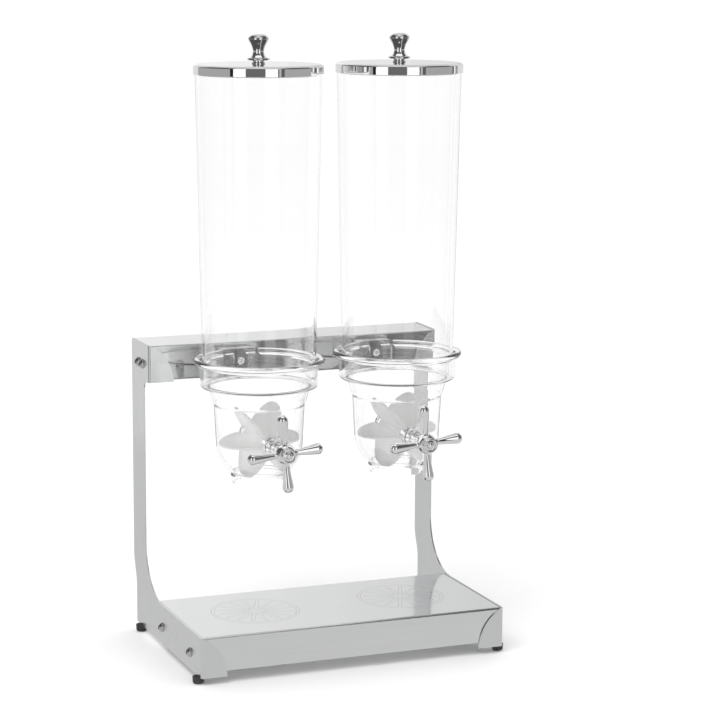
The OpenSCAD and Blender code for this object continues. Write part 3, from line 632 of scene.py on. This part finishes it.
def hex_cutter(r, low, high, at, axis):
    """A six-sided cutter for a socket, a little turned."""
    angles = [math.radians(60 * k + HEX_TURN) for k in range(6)]
    outline = [(r * math.cos(a), r * math.sin(a)) for a in angles]
    return prism("cutter", outline, low, high, lambda a, b, c: place((a, b, c), at, axis) / MM)


def turned_sideways(obj, at, side):
    """Turns a lathe made along +Z at the origin so that it points out to one side."""
    turn = Matrix.Rotation(math.radians(90 * side), 4, "Y")
    obj.data.transform(Matrix.Translation(Vector(at) * MM) @ turn)
    return obj


def join(name, parts):
    bm = bmesh.new()
    for p in parts:
        bm.from_mesh(p.data)
        bpy.data.objects.remove(p)
    mesh = bpy.data.meshes.new(name)
    bm.to_mesh(mesh)
    bm.free()
    obj = bpy.data.objects.new(name, mesh)
    scene.collection.objects.link(obj)
    smooth(obj, 32)
    return obj


HEX_TURN = 12
SCREW_R, SCREW_L, SCREW_TIP = 2.5, 8.1, 0.4
HEAD_R, HEAD_H, HEAD_RIM, HEAD_EDGE = 5.5, 4.2, 0.5, 0.15
HEX_R, HEX_FLOOR = 2.2, 1.3
DOME_H = HEAD_H - HEAD_RIM
DOME_R = (HEAD_R ** 2 + DOME_H ** 2) / (2 * DOME_H)
DOME_STEPS = 12
base_screw_z = PLATE_BOTTOM + 0.42 * (PLATE_TOP - PLATE_BOTTOM)
head_screw_z = STAND_TOP - 24
screw_places = [(PLATFORM_LO.y + 38.5, base_screw_z), (PLATFORM_HI.y - 20, base_screw_z),
                (COLUMN_REAR - 42, head_screw_z), (COLUMN_REAR - 26, head_screw_z)]


def button_head():
    low = math.asin(HEAD_R * 0.985 / DOME_R)
    angles = [low * (1 - i / DOME_STEPS) for i in range(DOME_STEPS + 1)]
    dome = [(DOME_R * math.sin(a), HEAD_H - DOME_R + DOME_R * math.cos(a)) for a in angles]
    profile = [(0, -SCREW_L), (SCREW_R - SCREW_TIP, -SCREW_L), (SCREW_R, -SCREW_L + SCREW_TIP),
               (SCREW_R, 0), (HEAD_R - HEAD_EDGE, 0), (HEAD_R, HEAD_EDGE)] + dome
    profile[-1] = (0, HEAD_H)
    screw = lathe("screw", profile, (0, 0, 0), segments=48)
    return boolean(screw, hex_cutter(HEX_R, HEX_FLOOR, HEAD_H + 1, (0, 0, 0), "up"), "DIFFERENCE")


screws = []
for word, side in SIDES:
    for y, z in screw_places:
        screws.append(turned_sideways(button_head(), (side * HALF_W, y, z), side))
finish_piece(join("button_screws", screws), BRIGHT, "stand", "bright_screws", "side_screws")

FOOT_R, FOOT_H = 6.3, PLATE_BOTTOM
SLOT_T, SLOT_W, SLOT_L = 1.7, 7.2, 4.6
feet = []
for word, side in SIDES:
    for y in FOOT_Y:
        x = side * (HALF_W - PLATE_T / 2)
        profile = fillet([(0, 0), (FOOT_R - 0.3, 0, 2.6), (FOOT_R, FOOT_H - 2.2, 0.6),
                          (FOOT_R, FOOT_H, 0.4), (0, FOOT_H)])
        foot = lathe("foot", profile, (x, y, 0), segments=72)
        slot = block("slot", (x - SLOT_T / 2, y - SLOT_W / 2, FOOT_H - SLOT_L),
                     (x + SLOT_T / 2, y + SLOT_W / 2, FOOT_H + 1))
        feet.append(boolean(foot, slot, "DIFFERENCE"))
finish_piece(join("moulded_feet", feet), RUBBER, "stand", "foot_rubber", "rubber_feet")


# ---- Bowls ----

BEAD_R = 3.3
COLLAR_IR, COLLAR_R = 61.6, 63.9
RIM_R = 67.4
RIM_Z = BOWL_HI.z - BEAD_R
COLLAR_Z = RIM_Z - 28
NECK_Z = COLLAR_Z - 17
BELLY_R, BELLY_IR = 47.3, 45.0
OUTLET_R, OUTLET_IR = 29.5, 27.2
OUTLET_Z = BOWL_LO.z
WALL = 2.3
SHOULDER_R = 55.4
REACH = BEAM_LO.y - UNIT_Y
# the lug behind the collar, its two pockets, and the screw through it
LUG_HALF_W, LUG_LOW, LUG_HIGH = 22, 1, 30
POCKET_X, POCKET_HALF_W = 13.25, 5.75
LUG_SCREW_Z = COLLAR_Z + 18
FRONT_BOSS_R, FRONT_BOSS_END, BUSH_BORE_R = 10.2, 50.3, 7.85
REAR_BOSS_R, REAR_BOSS_LOW, REAR_BOSS_HIGH = 8, -46, -36


def collar_plug(r, at):
    """A round cutter as wide as the collar, from well under it to well above."""
    low, high = COLLAR_Z - 30, RIM_Z + 20
    return lathe("plug", [(0, low), (r, low), (r, high), (0, high)], at, segments=192)


def bowl(name, x):
    at = (x, UNIT_Y, 0)
    out_top = SHAFT_Z - math.sqrt(BELLY_R ** 2 - OUTLET_R ** 2)
    in_low = SHAFT_Z - math.sqrt(BELLY_IR ** 2 - OUTLET_IR ** 2)
    outside = [
        (OUTLET_IR, OUTLET_Z, 0.5), (OUTLET_R, OUTLET_Z, 0.9), (OUTLET_R, out_top - 2.4, 0.4),
        (OUTLET_R + 1.7, out_top - 2.2, 0.5), (OUTLET_R + 1.7, out_top - 0.6, 0.5)]
    low = math.degrees(math.asin(-(SHAFT_Z - out_top) / BELLY_R))
    outside += arc(0, SHAFT_Z, BELLY_R, low + 1.5, -8, 26)
    outside += [
        (49.2, NECK_Z - 3.0, 2.5), (50.6, NECK_Z, 0.7), (50.9, NECK_Z + 0.9, 0.9),
        (SHOULDER_R, COLLAR_Z, 1.5), (COLLAR_R, COLLAR_Z, 3.2), (COLLAR_R, RIM_Z - BEAD_R - 0.8, 0.8)]
    outside += arc(RIM_R, RIM_Z, BEAD_R, -125, 115, 24)
    inside = [
        (COLLAR_IR + 2.6, RIM_Z + 0.6, 2.0), (COLLAR_IR, RIM_Z - 5.5, 1.5),
        (COLLAR_IR, COLLAR_Z + WALL, 0.8), (SHOULDER_R - WALL, COLLAR_Z + WALL, 0.8),
        (SHOULDER_R - WALL, COLLAR_Z, 0.6), (47.9, NECK_Z - 1.2, 4.0)]
    high = math.degrees(math.asin(-(SHAFT_Z - in_low) / BELLY_IR))
    inside += arc(0, SHAFT_Z, BELLY_IR, -8, high, 26)
    body = lathe(name, fillet(outside + inside), at, segments=192)
    lug = block("lug", (x - LUG_HALF_W, UNIT_Y, COLLAR_Z + LUG_LOW),
                (x + LUG_HALF_W, BEAM_LO.y, COLLAR_Z + LUG_HIGH))
    soften(lug, 1.2, 3, weighted=False)
    boolean(lug, collar_plug(COLLAR_R - 0.4, at), "DIFFERENCE")
    for s in (-1, 1):
        mid = x + s * POCKET_X
        pocket = block("pocket", (mid - POCKET_HALF_W, UNIT_Y + COLLAR_R - 2, COLLAR_Z - 2),
                       (mid + POCKET_HALF_W, BEAM_LO.y - 3, COLLAR_Z + LUG_HIGH - 3))
        boolean(pocket, collar_plug(COLLAR_R + 0.4, at), "DIFFERENCE")
        soften(pocket, 1.0, 2, weighted=False)
        boolean(lug, pocket, "DIFFERENCE")
    boolean(body, lug, "UNION")
    axis_at = (x, UNIT_Y, SHAFT_Z)
    root = BELLY_IR - 1.5
    front_boss = lathe("boss", fillet([(0, root), (FRONT_BOSS_R, root), (FRONT_BOSS_R, FRONT_BOSS_END, 0.8),
                                       (0, FRONT_BOSS_END)]), axis_at, "front", 96)
    boolean(body, front_boss, "UNION")
    bore = lathe("bore", [(0, 30), (BUSH_BORE_R, 30), (BUSH_BORE_R, 60), (0, 60)], axis_at, "front", 96)
    boolean(body, bore, "DIFFERENCE")
    rear = lathe("boss", fillet([
        (0, REAR_BOSS_LOW), (REAR_BOSS_R, REAR_BOSS_LOW), (REAR_BOSS_R, REAR_BOSS_HIGH, 0.8),
        (4.1, REAR_BOSS_HIGH, 0.3), (4.1, -43.8), (0, -43.8)]), axis_at, "front", 72)
    boolean(body, rear, "UNION")
    far, seat, near = -REACH - 2, -67, -50
    hole = lathe("hole", [(0, far), (2.65, far), (2.65, seat), (4.8, seat), (4.8, near), (0, near)],
                 (x, UNIT_Y, LUG_SCREW_Z), "front", 48)
    boolean(body, hole, "DIFFERENCE")
    smooth(body, 28)
    return weighted(body)


for word, side in SIDES:
    finish_piece(bowl("moulded_bowl_" + word, side * UNIT_X), BOWL_CLEAR, "stand", "clear_bowl",
                 "bowl_" + word)

CAP_R, CAP_H = 4.3, 5.0
caps = []
for word, side in SIDES:
    at = (side * UNIT_X, UNIT_Y, LUG_SCREW_Z)
    outer = -(COLLAR_IR + 0.4)
    under, end = outer - CAP_H, -REACH - 9.2
    profile = fillet([(0, end), (SCREW_R, end, 0.4), (SCREW_R, under), (CAP_R, under, 0.2),
                      (CAP_R, outer, 0.6), (0, outer)])
    screw = lathe("socket", profile, at, "front", 48)
    cut = hex_cutter(2.3, outer - 3, outer + 1.4, at, "front")
    caps.append(boolean(screw, cut, "DIFFERENCE"))
finish_piece(join("socket_screws", caps), BRIGHT, "stand", "bright_screws", "bowl_screws")


# ---- Tubes ----

TUBE_FOOT_R, TUBE_WALL = 61.0, 2.6


def tube(name, x):
    profile = fillet([
        (TUBE_FOOT_R - TUBE_WALL, TUBE_LO.z, 0.7), (TUBE_FOOT_R, TUBE_LO.z, 0.9),
        (TUBE_TOP_R, TUBE_HI.z, 0.9), (TUBE_TOP_R - TUBE_WALL, TUBE_HI.z, 0.7)], 4)
    return lathe(name, profile, (x, UNIT_Y, 0), segments=256, sharp=40, even=True)


for word, side in SIDES:
    finish_piece(tube("clear_tube_" + word, side * UNIT_X), TUBE_CLEAR, "tube_body_" + word, "clear_tube",
                 "tube_" + word)


# ---- Lids ----

def lid(name, x):
    top, low, r = LID_HI.z, LID_LO.z, LID_R
    profile = fillet([
        (2.7, top - 1.2), (2.7, top), (r - 3.5, top, 6.0), (r, top - 1.9, 1.6), (r, low + 0.9, 0.5),
        (r, low, 0.5), (r - 1.3, low, 0.4), (r - 1.2, low + 0.9), (r - 1.2, top - 2.2, 1.0),
        (r - 2.2, top - 1.2)], 6)
    return lathe(name, profile, (x, UNIT_Y, 0), segments=256, sharp=35, even=True)


def seal(name, x):
    r = TUBE_TOP_R
    top, under = TUBE_HI.z, TUBE_HI.z + 2.6
    lip = r - TUBE_WALL - 0.4
    profile = fillet([
        (lip - 3, under, 0.4), (lip - 3, top - 8, 0.8), (lip, top - 8, 1.2), (lip, top, 0.3), (r, top, 0.5),
        (r, under, 1.0)], 4)
    return lathe(name, profile, (x, UNIT_Y, 0), segments=192)


def smooth_line(points, steps=6):
    """Catmull-Rom line through the points."""
    out = []
    pts = [points[0]] + list(points) + [points[-1]]
    for i in range(1, len(pts) - 2):
        p0, p1, p2, p3 = (Vector(p) for p in pts[i - 1:i + 3])
        for k in range(steps):
            t = k / steps
            q = 0.5 * ((2 * p1) + (p2 - p0) * t + (2 * p0 - 5 * p1 + 4 * p2 - p3) * t * t
                       + (3 * p1 - p0 - 3 * p2 + p3) * t ** 3)
            out.append((max(q.x, 0.0), q.y))
    out.append(tuple(points[-1]))
    return out


def knob(name, x):
    z = LID_HI.z
    foot = fillet([
        (0, z), (7.4, z, 0.4), (7.4, z + 1.1, 0.5), (6.4, z + 1.9, 0.5), (6.4, z + 3.7, 0.3),
        (11.6, z + 3.8, 0.8), (12.4, z + 5.0, 0.8), (11.7, z + 6.2, 0.8), (9.2, z + 6.7, 0.5)], 4)
    waist = smooth_line([
        (8.2, z + 7.6), (6.8, z + 9.6), (6.0, z + 12.4), (6.4, z + 15.5), (7.7, z + 19), (9.6, z + 22.5),
        (11.0, z + 25.2), (11.2, z + 26.6), (10.3, z + 28.4), (7.8, z + 30.2), (4.2, z + 31.3),
        (0.0, z + 31.5)], 7)
    return lathe(name, foot + waist, (x, UNIT_Y, 0), segments=128, sharp=50, closed=False)


for word, side in SIDES:
    body = "lid_body_" + word
    x = side * UNIT_X
    finish_piece(lid("spun_lid_" + word, x), CHROME, body, "chrome", "lid_" + word)
    finish_piece(seal("lip_seal_" + word, x), SEAL, body, "seal_silicone", "lid_seal_" + word)
    finish_piece(knob("turned_knob_" + word, x), CHROME, body, "chrome", "lid_knob_" + word)


# ---- Portion wheels ----

PETALS, PETAL_R, PETAL_T = 6, 44.0, 2.4
HUB_FRONT, HUB_BACK, HUB_R = 27.7, 35.0, 7.2
SHAFT_GAP_R = 4.15
PETAL_ROOT, FRONT_CLEAR, REAR_CLEAR, END_GAP = 4.6, 9.5, 9.7, 0.2


def petal_outline():
    """Half-round lobe as (out from the axis, along the shaft), clear of the bush and the rear boss."""
    back, front = -HUB_BACK + END_GAP, HUB_FRONT - END_GAP
    rear_end = -math.sqrt(PETAL_R ** 2 - REAR_CLEAR ** 2)
    front_end = math.sqrt(PETAL_R ** 2 - FRONT_CLEAR ** 2)
    low = math.degrees(math.asin(rear_end / PETAL_R))
    high = math.degrees(math.acos(FRONT_CLEAR / PETAL_R))
    return [(PETAL_ROOT, back), (REAR_CLEAR, back), (REAR_CLEAR, rear_end),
            *arc(0, 0, PETAL_R, low + 1, high - 1, 40),
            (FRONT_CLEAR, front_end), (FRONT_CLEAR, front), (PETAL_ROOT, front)]


def wheel(name, x):
    at = (x, UNIT_Y, SHAFT_Z)
    hub = lathe(name, fillet([(SHAFT_GAP_R, -HUB_BACK), (HUB_R, -HUB_BACK, 0.8), (HUB_R, HUB_FRONT, 0.8),
                              (SHAFT_GAP_R, HUB_FRONT)]), at, "front", 96)
    for k in range(PETALS):
        turn = REST_TURN + math.radians(360 / PETALS * k)

        def to_world(along, b, across):
            u = along * math.cos(turn) - across * math.sin(turn)
            v = along * math.sin(turn) + across * math.cos(turn)
            return at[0] + u, at[1] - b, at[2] + v

        lobe = prism("lobe", petal_outline(), -PETAL_T / 2, PETAL_T / 2, to_world)
        soften(lobe, 0.9, 3, weighted=False)
        boolean(hub, lobe, "UNION")
    smooth(hub, 30)
    return hub


# ---- Bush, handle and cap ----

# distances in front of the bowl's axis, and radii from the shaft's
ARMS, ARM_PLANE = 4, 83.5
ARM_TIP_R, ARM_NECK_R, ARM_REACH = 6.1, 3.3, 42.3
BORE_R, SCREW_BORE_R = 4.05, 4.2
BUSH_R, BUSH_BACK, BUSH_FRONT = 7.8, 28.0, 55.3
STEM_R, STEM_BACK, HUB_FACE, BORE_FACE = 7.2, 55.6, 91.5, 84.0
CAP_RING_R, CAP_LIP_R, CAP_FRONT, CAP_RECESS = 7.9, 6.1, 98.0, 2.6
STUD_R, STUD_H = 3.6, 2.0


def bush(name, x):
    profile = fillet([(BORE_R, BUSH_BACK, 0.3), (BUSH_R, BUSH_BACK, 0.6), (BUSH_R, BUSH_FRONT, 0.5),
                      (BORE_R, BUSH_FRONT, 0.3)])
    return lathe(name, profile, (x, UNIT_Y, SHAFT_Z), "front", 128)


def handle(name, x):
    at = (x, UNIT_Y, SHAFT_Z)
    stem = fillet([(BORE_R, STEM_BACK, 0.2), (STEM_R, STEM_BACK, 0.5), (STEM_R, 66.0)])
    swell = smooth_line([(STEM_R, 66.5), (7.3, 69.5), (8.2, 73.0), (9.9, 77.0), (11.0, 80.0), (11.2, 83.0),
                         (11.0, 86.0), (10.0, 89.0), (8.6, 91.0), (7.5, HUB_FACE)], 5)
    bore = [(SCREW_BORE_R, HUB_FACE), (SCREW_BORE_R, BORE_FACE), (BORE_R, BORE_FACE)]
    hub = lathe(name, stem + swell + bore, at, "front", 128, 40)
    for k in range(ARMS):
        turn = REST_TURN + math.radians(360 / ARMS * k)
        slope = math.asin((ARM_TIP_R - ARM_NECK_R) / (ARM_REACH - ARM_TIP_R - 11.2))
        line = [(0, 5.5), (4.2, 5.5), (3.9, 8.5), (3.45, 11.2), (3.4, 13.5)]
        line += arc(0, ARM_REACH - ARM_TIP_R, ARM_TIP_R, -math.degrees(slope), 90, 16)
        arm = lathe("arm", line, (0, 0, 0), segments=72, sharp=60, closed=False)
        out = Vector((math.cos(turn), 0, math.sin(turn)))
        aim = out.to_track_quat("Z", "Y").to_matrix().to_4x4()
        arm.data.transform(Matrix.Translation(Vector((x, UNIT_Y - ARM_PLANE, SHAFT_Z)) * MM) @ aim)
        hollow = [(0, 80), (SCREW_BORE_R, 80), (SCREW_BORE_R, 100), (0, 100)]
        boolean(arm, lathe("hollow", hollow, at, "front", 64), "DIFFERENCE")
        boolean(hub, arm, "UNION")
    smooth(hub, 38)
    return hub


def cap(name, x):
    r, z = CAP_RING_R, CAP_FRONT
    floor_z = z - CAP_RECESS
    ring = fillet([(0, 88.5), (4.15, 88.5, 0.3), (4.15, HUB_FACE), (r, HUB_FACE, 0.4), (r, 94.2, 0.2),
                   (r - 0.4, 94.6, 0.2), (r, 95.0, 0.2), (r, z, 1.1), (CAP_LIP_R, z, 0.5),
                   (CAP_LIP_R - 0.4, floor_z, 0.4)], 5)
    dome = [(STUD_R * math.cos(math.radians(9 * i)), floor_z + STUD_H * math.sin(math.radians(9 * i)))
            for i in range(11)]
    dome[-1] = (0, floor_z + STUD_H)
    return lathe(name, ring + dome, (x, UNIT_Y, SHAFT_Z), "front", 96, 34)


for word, side in SIDES:
    x = side * UNIT_X
    body = "wheel_" + word
    finish_piece(wheel("petal_wheel_" + word, x), PETAL, body, "milky_silicone",
                 "portion_wheel_" + word)
    finish_piece(handle("cast_handle_" + word, x), CHROME, body, "chrome", "cross_handle_" + word)
    finish_piece(cap("ringed_cap_" + word, x), CHROME, body, "chrome", "handle_cap_" + word)
    finish_piece(bush("turned_bush_" + word, x), CHROME, "stand", "chrome", "shaft_bush_" + word)

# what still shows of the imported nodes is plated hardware
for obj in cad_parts.values():
    if not obj.hide_render:
        obj.data.materials.clear()
        obj.data.materials.append(ZINC)


# ---- Studio ----

YAW, PITCH, ROLL = 0.3770837, 0.1689987, -0.0050334    # radians
CAMERA_AT = (-0.91216, -2.43089, 0.76347)              # metres
SHELL_R, SHELL_Z, SHELL_STEP = 7.0, 0.3, 2             # metres, metres, degrees
FLOOR_R, TABLE_R, TABLE_DROP = 60.0, 1.25, 0.0002      # metres
forward = Vector((math.sin(YAW) * math.cos(PITCH), math.cos(YAW) * math.cos(PITCH), -math.sin(PITCH)))
to_right = Vector((math.cos(YAW), -math.sin(YAW), 0))
downward = forward.cross(to_right)
image_x = to_right * math.cos(ROLL) + downward * math.sin(ROLL)
image_y = -to_right * math.sin(ROLL) + downward * math.cos(ROLL)

camera_data = bpy.data.cameras.new("camera")
camera = bpy.data.objects.new("camera", camera_data)
scene.collection.objects.link(camera)
axes = Matrix((image_x, -image_y, -forward)).transposed().to_4x4()
camera.matrix_world = Matrix.Translation(CAMERA_AT) @ axes
camera_data.sensor_width = 36
camera_data.lens = 119.12
camera_data.clip_start, camera_data.clip_end = 0.05, 200
scene.camera = camera


def glow(name):
    """Light of the colour that each face carries."""
    m = bpy.data.materials.new(name)
    m.use_nodes = True
    nt = m.node_tree
    nt.nodes.clear()
    out = nt.nodes.new("ShaderNodeOutputMaterial")
    light = nt.nodes.new("ShaderNodeEmission")
    tint = nt.nodes.new("ShaderNodeAttribute")
    tint.attribute_name = "tone"
    nt.links.new(tint.outputs["Color"], light.inputs["Color"])
    nt.links.new(light.outputs[0], out.inputs["Surface"])
    return m


def only_reflected(obj):
    obj.visible_camera = False
    obj.visible_diffuse = False
    obj.visible_transmission = False
    obj.visible_shadow = False
    obj.visible_volume_scatter = False


def room_tone(az, el):
    """What bright metal sees of the studio, by direction in degrees: az right of the camera, el up."""
    if abs(az) > 128 and -30 < el < 40:
        turn = az if az > 0 else az + 360
        if abs(az) > 166 and el > 0:
            return 0.73 + 0.017 * (turn - 174)
        return 0.80
    if el > 62 and abs(az) < 100:
        return 1.1
    if -30 < el < 34:
        if -42 < az < -19 or 13 < az < 36:
            return 1.25
        if -48 < az <= -42 or 36 <= az < 39:
            return 0.02
        if -19 <= az <= 13:
            return 0.16 if el > -6 else 0.2
        if 39 <= az < 42:
            return 0.52
        if 42 <= az < 48:
            return 0.12
        if 110 < az < 114 or 119 < az < 123:
            return 0.03
        if 114 <= az <= 119:
            return 1.0
        return 0.42 if -12 < el < 6 else 0.1
    if el <= -30:
        return 0.35
    return 0.7 if abs(az) > 150 or 40 < az < 52 else 0.10


def studio_shell():
    bm = bmesh.new()
    layer = bm.loops.layers.float_color.new("tone")
    step = SHELL_STEP
    towards = Vector((-math.sin(YAW), -math.cos(YAW), 0))

    def point(az, el):
        a, e = math.radians(az), math.radians(el)
        flat = towards * math.cos(a) + to_right * math.sin(a)
        return flat * math.cos(e) * SHELL_R + Vector((0, 0, math.sin(e) * SHELL_R + SHELL_Z))

    grid = {}
    for az in range(-180, 180, step):
        for el in range(-90, 91, step):
            grid[az, el] = bm.verts.new(point(az, el))
    for az in range(-180, 180, step):
        for el in range(-90, 90, step):
            nxt = az + step if az + step < 180 else -180
            f = bm.faces.new((grid[az, el], grid[nxt, el], grid[nxt, el + step], grid[az, el + step]))
            t = room_tone(az + step / 2, el + step / 2)
            for loop in f.loops:
                loop[layer] = (t, t, t, 1)
    mesh = bpy.data.meshes.new("studio_shell")
    bm.to_mesh(mesh)
    bm.free()
    obj = bpy.data.objects.new("studio_shell", mesh)
    scene.collection.objects.link(obj)
    mesh.materials.append(glow("studio_tones"))
    only_reflected(obj)


studio_shell()


def floor_material(name, tone):
    m, nt, s = material(name)
    cloud = stretched_noise(nt, 3.0, (1, 1, 1), 3.0)
    nt.links.new(two_tone(nt, cloud, (tone - 0.015,) * 3, (tone,) * 3), s.inputs["Base Color"])
    s.inputs["Roughness"].default_value = 0.85
    s.inputs["Specular IOR Level"].default_value = 0.2
    return m


def disc(name, radius, z):
    bm = bmesh.new()
    bmesh.ops.create_circle(bm, cap_ends=True, segments=96, radius=radius)
    mesh = bpy.data.meshes.new(name)
    bm.to_mesh(mesh)
    bm.free()
    obj = bpy.data.objects.new(name, mesh)
    obj.location.z = z
    scene.collection.objects.link(obj)
    return obj


floor = disc("floor", FLOOR_R, 0.0)
floor.data.materials.append(floor_material("pale_floor", 0.86))
floor.visible_glossy = False
# painted shade: a darker copy of the floor (tone 0.67 against 0.86), seen only in reflections
table = disc("table", TABLE_R, -TABLE_DROP)
table.data.materials.append(floor_material("table_painted_shade", 0.67))
only_reflected(table)

world = bpy.data.worlds.new("studio")
scene.world = world
world.use_nodes = True
world.node_tree.nodes["Background"].inputs["Color"].default_value = (1, 1, 1, 1)
world.node_tree.nodes["Background"].inputs["Strength"].default_value = 1.2

key_data = bpy.data.lights.new("key", "AREA")
key_data.shape = "RECTANGLE"
key_data.size, key_data.size_y = 2.0, 1.4
key_data.energy = 30
key = bpy.data.objects.new("key", key_data)
scene.collection.objects.link(key)
key.location = (-1.6, -1.4, 2.6)
key.rotation_euler = (Vector((0, 0, 0.2)) - key.location).to_track_quat("-Z", "Y").to_euler()
key.visible_glossy = False
key.visible_transmission = False

scene.view_settings.view_transform = "Standard"
scene.cycles.max_bounces = 32
scene.cycles.transmission_bounces = 28
scene.cycles.glossy_bounces = 8
scene.cycles.diffuse_bounces = 4
scene.cycles.transparent_max_bounces = 16
